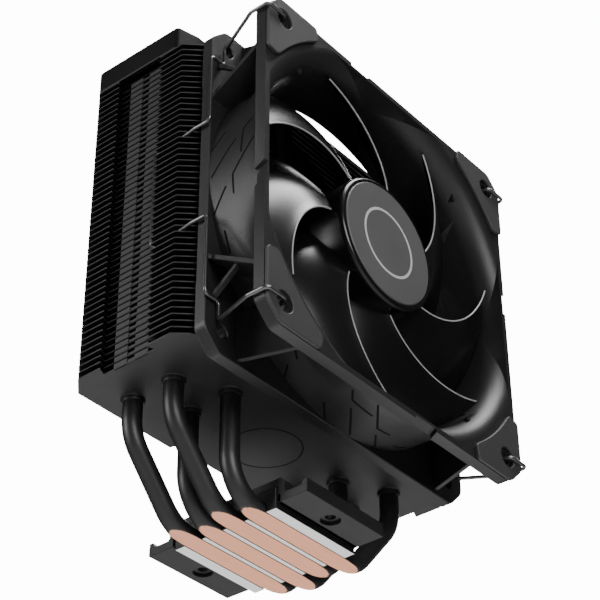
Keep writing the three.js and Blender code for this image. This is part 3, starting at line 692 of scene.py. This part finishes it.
# the fins above the lowest carry the darker copy of the coat on their faces, as painted shade between fins
makePiece("fins", [otherFins, *tabShells()], finish["finPaintedShade"], "heat_sink", ["fin_stack"],
          extra=(finish["finEdgeHighlight"], highlightedEdgeFaces))


ringSet = {"radius": 11.0, "width": 0.35, "sink": 0.02, "stand": 0.04, "sides": 72}


def pressedRing():
    # a low ring pressed into the underside of the lowest fin, darker than the fin as painted shade in its
    # groove
    p, outer = ringSet, ringSet["radius"] + ringSet["width"]
    profile = [(p["radius"], p["sink"]), (outer, p["sink"]), (outer, -p["stand"]), (p["radius"], -p["stand"])]
    rings = [upright(*circle(radius, p["sides"]).T, np.full(p["sides"], finLow[2] + z))
             for radius, z in profile]
    return loft(rings, closed=True)


makePiece("pressed_ring", [pressedRing()], finish["paintedGrooveShade"], "heat_sink")

# ---- top cover ----

coverSet = {  # the bevel is (inset, distance below the top)
    "frontHalf": 55.0, "frontTaper": 1.9, "rearHalf": 57.4, "rearTaper": 5.0, "skirt": 144.3, "wall": 1.6,
    "cornerRound": 1.5, "rimInset": 0.2, "rimDrop": 0.3,
    "bevel": [(0, 1.0), (0.15, 0.7), (0.7, 0.15), (1.0, 0)],
}


def coverRing(amount, z):
    # the cover's outline at a height, moved inwards by an amount
    c = coverSet
    half = np.array([[c["frontHalf"], coverLow[1]], [coverHigh[0], coverLow[1] + c["frontTaper"]],
                     [coverHigh[0], coverHigh[1] - c["rearTaper"]], [c["rearHalf"], coverHigh[1]]])
    outline = rounded(np.vstack([half, half[::-1] * [-1, 1]]), c["cornerRound"], 4)
    ring = inset(wound(outline, 1), amount)
    return upright(ring[:, 0], ring[:, 1], np.full(len(ring), z))


def coverShell():
    # rings from the hollow's ceiling down its wall, round the rim and up to the bevelled top
    c, top = coverSet, coverHigh[2]
    skirt, wall, rim = c["skirt"], c["wall"], c["skirt"] - c["rimDrop"]
    return loft([coverRing(wall, top - wall), coverRing(wall, skirt), coverRing(wall - c["rimInset"], rim),
                 coverRing(c["rimInset"], rim), coverRing(0, skirt),
                 *(coverRing(amount, top - drop) for amount, drop in c["bevel"])])


def highlightedBevelFaces(faces):
    # the sloping strip between the second and the third row of the bevel, which gets the light grey as a
    # painted highlight
    (_, lower), (_, upper) = coverSet["bevel"][1:3]
    z, margin = faces[..., 2], 0.05
    return (z.min(1) > coverHigh[2] - lower - margin) & (z.max(1) < coverHigh[2] - upper + margin)


# the bevel strip round the cover's top is light grey as a painted highlight
makePiece("cover", [coverShell()], finish["coverCoat"], "heat_sink", ["top_cover"], sharp=20,
          extra=(finish["paintedEdgeHighlight"], highlightedBevelFaces))
print("heat sink done")

# ---- fan frame ----

fanSet = {
    "reach": 60.0, "corner": 6.2, "cornerRound": 4.0, "flange": 3.7, "throat": 58.0, "mouth": 64.5,
    "mouthDepth": 9.0, "rim": 58.0, "barrel": 59.7, "hole": 52.5, "holeRadius": 2.15, "mouthGap": 0.15,
    "recess": 1.1, "slitDepth": 1.6, "slitWidth": 0.6, "slitRound": 0.05, "slant": 2.0, "bevel": 0.25,
    "sides": 192, "flareSteps": 15, "ringWidth": 0.5, "ringDepth": 0.03, "rearEnd": 25.0,
    # the duct's outside as (share of the way from the barrel to the mouth's edge, depth behind the front)
    "outside": [(0, 24.9), (0, 12.0), (0.4, 7.0), (1, 3.6)],
    # per side (bottom, right, top, left), counted along it counter-clockwise: recess start and end, slit
    "notches": [(7.1, 16.5, 16.5), (5.0, 12.0, 12.0), (9.5, 18.4, 9.0), (6.7, 12.6, 6.2)],
}


def frameOutline(notched=True, slant=0.0):
    # the rounded square, with a shallow recess and a narrow slit in each edge, both moved back by slant
    f = fanSet
    reach, flat = f["reach"], f["reach"] - f["corner"]
    corners, radii = [], []
    for k, (start, end, slit) in enumerate(f["notches"]):
        start, end, slit = start - slant, end - slant, slit - slant
        cut = [(start, 0), (start, f["recess"]), (end, f["recess"]), (end, 0)]
        gap = [(slit, 0), (slit, f["slitDepth"]), (slit + f["slitWidth"], f["slitDepth"]),
               (slit + f["slitWidth"], 0)]
        if slit < start:
            stops = gap[:3] + [(slit + f["slitWidth"], f["recess"])] + cut[2:]
        else:
            stops = cut[:2] + [(slit, f["recess"])] + gap[1:]
        side = [(-flat, 0)] + (stops if notched else []) + [(flat, 0)]
        a = k * math.pi / 2
        for s, d in side:
            u, v = s, d - reach
            corners.append((u * math.cos(a) - v * math.sin(a), u * math.sin(a) + v * math.cos(a)))
            radii.append(f["cornerRound"] if abs(s) == flat else f["slitRound"])
    return rounded(corners, radii, 4) + [0, fanCentre]


def mouthRadius(a):
    # the mouth's edge: a circle in the corners, and a straight rim 2 mm wide along each side
    side = np.maximum(np.abs(np.cos(a)), np.abs(np.sin(a)))
    return np.minimum(fanSet["mouth"], fanSet["rim"] / side)


def ductShell():
    # r = mouth - (mouth - throat) sin(phi), y = depth (1 - cos(phi)), starting where r is the mouth's edge,
    # then back along the throat and forward again along the outside of the barrel
    f = fanSet
    a = np.arange(f["sides"]) * 2 * math.pi / f["sides"]
    edge, deep = mouthRadius(a), f["mouth"] - f["throat"]
    first = np.arcsin(np.clip((f["mouth"] - edge) / deep, 0, 1))
    phi = first + (math.pi / 2 - first) * np.linspace(0, 1, f["flareSteps"])[:, None]
    flare = [(f["mouth"] - deep * np.sin(p), f["mouthDepth"] * (1 - np.cos(p))) for p in phi]
    wider = np.maximum(edge, f["barrel"]) - f["barrel"]
    outside = [(f["barrel"] + share * wider, depth) for share, depth in f["outside"]]
    rows = [(edge + f["ringWidth"], f["ringDepth"]), (edge, f["ringDepth"]), *flare,
            (f["throat"], f["rearEnd"]), *outside]
    return loft([aboutAxis(radius, a, depth) for radius, depth in rows], closed=True)


def flangeShells():
    # the front flange with the mouth and the notched edge, and the plain rear flange
    f = fanSet
    a = np.arange(f["sides"]) * 2 * math.pi / f["sides"]
    edge = mouthRadius(a) + f["mouthGap"]
    mouth = np.stack([edge * np.cos(a), fanCentre + edge * np.sin(a)], -1)
    holes = [circle(f["holeRadius"], 24, sx * f["hole"], fanCentre + sz * f["hole"])
             for sx in (-1, 1) for sz in (-1, 1)]
    front = sheet([frameOutline(), mouth, *holes], [(0.0, fanFront), (0.0, fanFront + f["flange"])],
                  rearward, [frameOutline(slant=-f["slant"]), mouth, *holes])
    rear = sheet([frameOutline(False), circle(f["throat"], 96, 0, fanCentre), *holes],
                 bevelled(f["bevel"], fanRear - f["flange"], fanRear), rearward)
    return [front, rear]


cornerSet = {  # distances from the fan's axis, each part's near and far face at the rear and at the front
    "overlap": 0.2, "bevel": 0.15, "webBevel": 0.1, "webLength": 9.7,
    "ledgeRear": (29.0, 30.8), "ledgeFront": (39.8, 41.6), "ledgeSpan": (44.0, 59.4),
    "webRear": (42.6, 44.4), "webFront": (35.4, 37.0), "webSpan": (56.2, 57.8),
    "wallRear": (45.0, 46.6), "wallFront": (39.0, 40.6), "wallSpan": (42.5, 58.6),
}


def slantedOutline(part, rearY, frontY):
    # four corners as (y, distance from the axis)
    (near, far), (nearFront, farFront) = cornerSet[part + "Rear"], cornerSet[part + "Front"]
    return np.array([[rearY, near], [frontY, nearFront], [frontY, farFront], [rearY, far]])


def cornerShells():
    # a ledge, a small gusset and a slanted wall in every corner, between the flanges
    c = cornerSet
    y0 = fanFront + fanSet["flange"] - c["overlap"]
    y1 = fanRear - fanSet["flange"] + c["overlap"]
    shells = []
    for sx in (-1, 1):
        for sz in (-1, 1):
            parts = (("ledge", y0, c["bevel"]), ("web", y1 - c["webLength"], c["webBevel"]))
            for part, front, bevel in parts:
                outline = slantedOutline(part, y1, front) * [1, sz] + [0, fanCentre]
                low, high = sorted(sx * x for x in c[part + "Span"])
                shells.append(sheet([outline], bevelled(bevel, low, high), sideways))
            outline = slantedOutline("wall", y1, y0)[:, ::-1] * [sx, 1]
            low, high = sorted(fanCentre + sz * z for z in c["wallSpan"])
            shells.append(sheet([outline], bevelled(c["bevel"], low, high)))
    return shells


strutSet = {  # the seat's and the sleeve's profiles are (radius, distance in front of the rear face)
    "width": 5.0, "depth": 3.0, "offset": 19.3, "angle": 5.7, "start": 6.0, "overlap": 1.0, "bevel": 0.5,
    "seat": [(0.5, 2.4), (21.9, 2.4), (22.5, 1.8), (22.5, 0.4), (22.1, 0), (0.5, 0)],
    "sleeve": [(3.8, 14.2), (4.8, 14.2), (4.8, 2), (3.8, 2)],
}


def strutShells():
    # four struts to the motor's seat, the seat itself and the sleeve that the bush sits in; a strut runs
    # to where its line, offset from the axis, meets the barrel: reach = sqrt(radius^2 - offset^2)
    p = strutSet
    reach = math.sqrt((fanSet["throat"] + p["overlap"]) ** 2 - p["offset"] ** 2)
    low = fanCentre + p["offset"] - p["width"] / 2
    bar = brick((p["start"], fanRear - p["depth"], low), (reach, fanRear, low + p["width"]), p["bevel"])
    seat, sleeve = (lathe([(radius, fanRear - ahead) for radius, ahead in p[part]], sides)
                    for part, sides in (("seat", 64), ("sleeve", 32)))
    return [*aroundAxis(turned(bar, p["angle"]), 4), seat, sleeve]


makePiece("frame", [ductShell(), *flangeShells(), *cornerShells(), *strutShells()], finish["framePlastic"],
          "heat_sink", ["fan_frame"], sharp=30)

grooveSet = {  # lines on the barrel's outside as (degrees, depth behind the front face) points
    "width": 0.65, "sink": 0.2, "stand": 0.04, "steps": 10,
    "lines": [[(172.4, 11.8), (182.5, 20.5)], [(175.4, 4.5), (184.9, 12.4), (191.2, 12.7)],
              [(165.9, 5.9), (169.8, 9.2), (178.8, 9.2)], [(147.7, 12.5), (151.0, 14.3)],
              [(151.2, 17.9), (154.1, 21.2)], [(187.7, 15.2), (194.4, 20.7)], [(195.5, 9.0), (205.2, 9.1)],
              [(200.2, 18.2), (207.0, 18.3)], [(166.4, 16.7), (172.1, 21.2)]],
}


def grooveShell(line):
    # a thin flat strip that follows the barrel along the line, darker than the plastic as painted shade in a
    # groove; s is the line's direction, (across, rearwards)
    line = np.array(line)
    steps = np.linspace(0, len(line) - 1, grooveSet["steps"] * (len(line) - 1) + 1)
    a = np.radians(np.interp(steps, np.arange(len(line)), line[:, 0]))
    y = np.interp(steps, np.arange(len(line)), line[:, 1])
    s = np.stack([np.gradient(a) * fanSet["barrel"], np.gradient(y)], -1)
    s /= np.linalg.norm(s, axis=1, keepdims=True)
    half = grooveSet["width"] / 2
    offsets = np.array([[-1, 0], [1, 0], [1, 1], [-1, 1]])
    angle = a[:, None] - offsets[:, 0] * half * s[:, 1:] / fanSet["barrel"]
    depth = y[:, None] + offsets[:, 0] * half * s[:, :1]
    radius = fanSet["barrel"] - grooveSet["sink"] + (grooveSet["sink"] + grooveSet["stand"]) * offsets[:, 1]
    return loft(aboutAxis(radius, angle, depth))


grooves = [strip for line in grooveSet["lines"] for strip in aroundAxis(grooveShell(line), 4)]
makePiece("barrel_lines", grooves, finish["paintedGrooveShade"], "heat_sink")

# ---- pads ----

padSet = {
    "arm": 22.8, "endWidth": 4.2, "arc": 65.9, "arcPoints": 14, "arcTrim": 0.012, "arcRound": 0.05,
    "hole": 3.35, "round": 1.6, "chamfer": 5.6, "chamferRound": 3.5, "endRound": 0.8, "bevel": 0.25,
    "sink": 0.3, "frontBack": 0.1, "rearBack": 1.2,
}


def padShell(sx, sz, y0, y1, back):
    # an L whose inner edge follows the mouth, with rounded corners and a round hole, set back from the edges
    p, reach = padSet, fanSet["reach"] - back
    start, chamfer, end = reach - p["arm"], reach - p["chamfer"], reach - p["endWidth"]
    a0 = math.atan2(start, end) + p["arcTrim"]
    a = np.linspace(math.pi / 2 - a0, a0, p["arcPoints"])
    arc = np.stack([np.cos(a), np.sin(a)], -1) * p["arc"]
    corners = np.vstack([[[reach, start], [reach, chamfer], [chamfer, reach], [start, reach],
                          [start - p["endRound"], end]], arc, [[end, start - p["endRound"]]]])
    radii = np.concatenate([[p["round"], p["chamferRound"], p["chamferRound"], p["round"], p["endRound"]],
                            np.full(p["arcPoints"], p["arcRound"]), [p["endRound"]]])
    outline = rounded(corners, radii, 4) * [sx, sz] + [0, fanCentre]
    hole = circle(p["hole"], 36, sx * fanSet["hole"], fanCentre + sz * fanSet["hole"])
    return sheet([outline, hole], bevelled(p["bevel"], y0, y1), rearward)


for sx, nameX in ((-1, "left"), (1, "right")):
    for sz, nameZ in ((-1, "lower"), (1, "upper")):
        for face in ("front", "rear"):
            node = f"{face}_pad_{nameZ}_{nameX}"
            low, high = nodeBox(node)
            y0 = low[1] - (padSet["sink"] if face == "rear" else 0)
            y1 = high[1] + (padSet["sink"] if face == "front" else 0)
            pad = padShell(sx, sz, y0, y1, padSet[face + "Back"])
            makePiece(f"{face}_corner_pad_{nameZ}_{nameX}", [pad], finish["padRubber"], "heat_sink",
                      [node])

# ---- rotor ----

rotorSet = {  # the hub's rounded edge is (distance inside its radius, distance behind its front)
    "hubRadius": 22.3, "discRadius": 20.3, "bladeCount": 7, "phase": 22.6, "sweep": 43.5, "sweepPower": 1.2,
    "rootWrap": 56.0, "tipWrap": 41.0, "rootSink": 0.8, "tip": 56.8, "rootFront": 5.8, "tipFront": 3.6,
    "rear": 19.0, "rearPower": 0.85, "camber": 1.4, "thickness": 1.7, "edgeShare": 0.25, "roundPower": 0.6,
    # lip and the two values after it: the radius of the light bead along each leading edge, a painted
    # highlight, and where along the blade it starts and ends
    "lip": 0.26, "highlightStart": 0.05, "highlightEnd": 0.985, "wall": 1.4, "floorDepth": 2.2, "seatDepth": 0.6,
    "seatGap": 0.15, "grooveWidth": 0.1, "grooveDepth": 0.1, "rearGap": 0.2,
    "edge": [(1.5, 0), (0.9, 0.15), (0.4, 0.5), (0.1, 1.1), (0, 2.0)],
}


def bladePlace(u, v):
    # u from root to tip, v from leading to trailing edge: the angle leads by sweep * u^1.2 and falls back
    # by wrap * v, and the depth grows with v^0.85 and bulges forward by camber * sin(pi v)
    r, root = rotorSet, rotorSet["hubRadius"] - rotorSet["rootSink"]
    wrap = r["rootWrap"] + (r["tipWrap"] - r["rootWrap"]) * u
    angle = np.radians(r["phase"] + r["sweep"] * u ** r["sweepPower"] - wrap * v)
    front = r["rootFront"] + (r["tipFront"] - r["rootFront"]) * u
    depth = front + (r["rear"] - front) * v ** r["rearPower"] - r["camber"] * np.sin(math.pi * v)
    return root + (r["tip"] - root) * u, angle, depth


def bladeShell():
    # a front and a rear side; half the thickness is largest at mid-chord, by sin(pi v)^0.6
    r = rotorSet
    u, v = np.meshgrid(np.linspace(0, 1, 25), np.linspace(0, 1, 21), indexing="ij")
    radius, angle, depth = bladePlace(u, v)
    bulge = np.sin(math.pi * v) ** r["roundPower"]
    half = r["thickness"] / 2 * (r["edgeShare"] + (1 - r["edgeShare"]) * bulge)
    sides = [aboutAxis(radius, angle, depth + side * half) for side in (-1, 1)]
    return loft(np.concatenate([sides[0], sides[1][:, ::-1]], 1))


def leadingHighlightBead():
    # a thin round bead along a blade's leading edge, from just outside the hub to just inside the tip, light
    # grey as a painted highlight standing in for the reflection on the rounded edge
    u = np.linspace(rotorSet["highlightStart"], rotorSet["highlightEnd"], 40)
    return wireAlong(aboutAxis(*bladePlace(u, 0.0)), rotorSet["lip"], 10)


def hubShell():
    # cup with a seat for the disc, a thin groove round the seat and a rounded front edge
    r, front, rear = rotorSet, rotorLow[1], rotorHigh[1] - rotorSet["rearGap"]
    seat, hub = r["discRadius"] + r["seatGap"], r["hubRadius"]
    edge = [(hub - inside, front + behind) for inside, behind in r["edge"]]
    return lathe([(0, front + r["seatDepth"]), (seat, front + r["seatDepth"]),
                  (seat + r["grooveWidth"], front + r["grooveDepth"]), *edge, (hub, rear),
                  (hub - r["wall"], rear), (hub - r["wall"], front + r["floorDepth"]),
                  (0, front + r["floorDepth"])], 96, closed=False)


makePiece("impeller_blades", [hubShell(), *aroundAxis(bladeShell(), rotorSet["bladeCount"])],
          finish["rotorPlastic"], "rotor", ["impeller"], sharp=40)
# light beads on the leading edges, a painted highlight for the reflections on the rounded edges
makePiece("blade_edge_highlights", aroundAxis(leadingHighlightBead(), rotorSet["bladeCount"]), finish["paintedEdgeHighlight"], "rotor")

discSet = {"sink": 0.15, "bevel": 0.25, "ring": (11.0, 11.9), "ringSink": 0.05, "ringStand": 0.03}
discFront, discRear = discLow[1] + discSet["sink"], discHigh[1]
disc = lathe([(0, discRear), (rotorSet["discRadius"], discRear),
              (rotorSet["discRadius"], discFront + discSet["bevel"]),
              (rotorSet["discRadius"] - discSet["bevel"], discFront), (0, discFront)], 96, closed=False)
makePiece("hub_cap", [disc], finish["discFoil"], "rotor", ["hub_disc"], sharp=20)
(inner, outer), behind = discSet["ring"], discFront + discSet["ringSink"]
ahead = discFront - discSet["ringStand"]
ring = lathe([(inner, behind), (inner, ahead), (outer, ahead), (outer, behind)], 96)
makePiece("hub_ring", [ring], finish["ringPrint"], "rotor")
print("fan done")

# ---- wire clips ----

wireSet = {
    "radius": 0.6, "bend": 1.5, "bendSteps": 8, "outside": 61.2, "kinkReach": 55.4, "legs": (71.665, 107.025),
    "hook": (52.3, 1.4), "front": (53.4, -2.1), "turn": 4.9, "kink": (2.0, 8.4), "flangeFace": 4.6,
    "behindFrame": 1.2, "legTip": ((58.8, -7.9), (60.4, -7.7)),
}


def clipHalf(side, sz, leg):
    # hook in the front corner hole, round the frame's side, kink before the rear flange, leg between fins
    w, outside = wireSet, wireSet["outside"]
    holeZ = fanCentre + sz * fanSet["hole"]
    kinkStart, kinkEnd = (holeZ - sz * down for down in w["kink"])
    face, (hookX, hookY), (frontX, frontY) = fanRear - w["flangeFace"], w["hook"], w["front"]
    return [(side * x, y, z) for x, y, z in (
        (hookX, fanFront + hookY, holeZ), (frontX, fanFront + frontY, holeZ),
        (outside, fanFront + frontY, holeZ), (outside, fanFront + w["turn"], holeZ),
        (w["kinkReach"], face, kinkStart), (w["kinkReach"], face, kinkEnd), (outside, face, kinkEnd),
        (outside, face, leg), (outside, fanRear + w["behindFrame"], leg),
        *((x, y, leg) for x, y in w["legTip"]))]


for side, nameX in ((-1, "left"), (1, "right")):
    route = clipHalf(side, -1, wireSet["legs"][0]) + clipHalf(side, 1, wireSet["legs"][1])[::-1]
    spring = wireAlong(bentPath(route, wireSet["bend"], wireSet["bendSteps"]), wireSet["radius"], 14)
    makePiece(f"wire_spring_{nameX}", [spring], finish["springWire"], f"clip_{nameX}",
              [f"wire_clip_{nameX}"], sharp=60)

# ---- motor, carried over from the frame ----

motorFinish = {
    "rotor_yoke": "laminatedSteel", "rotor_magnet": "ferrite", "rotor_shaft": "polishedSteel",
    "shaft_retainer": "polishedSteel", "bearing_bush": "sinteredBronze", "stator_core": "laminatedSteel",
    "winding_front": "copperCoil", "winding_rear": "copperCoil", "circuit_board": "boardMask",
    "motor_label": "discFoil",
}
for node, name in motorFinish.items():
    solid = frame["nodes"][node]
    solid.data.materials.clear()
    solid.data.materials.append(finish[name])


def paleToCamera(material, strength):
    # adds a white glow that only the camera sees, so that it lights nothing
    nodes, links = material.node_tree.nodes, material.node_tree.links
    shader, path = nodes["Principled BSDF"], nodes.new("ShaderNodeLightPath")
    times = nodes.new("ShaderNodeMath")
    times.operation = "MULTIPLY"
    times.inputs[1].default_value = strength
    shader.inputs["Emission Color"].default_value = (1, 1, 1, 1)
    links.new(path.outputs["Is Camera Ray"], times.inputs[0])
    links.new(times.outputs[0], shader.inputs["Emission Strength"])


def addFloor(settings):
    # a flat sheet of four corners far below the cooler
    r, z = settings["reach"] / 1000, settings["height"] / 1000
    mesh = bpy.data.meshes.new("floor")
    mesh.from_pydata([(-r, -r, z), (r, -r, z), (r, r, z), (-r, r, z)], [], [(0, 1, 2, 3)])
    paleToCamera(finish["floorPaint"], settings["glow"])
    mesh.materials.append(finish["floorPaint"])
    floor = bpy.data.objects.new("floor", mesh)
    bpy.context.scene.collection.objects.link(floor)


addFloor(floorSet)
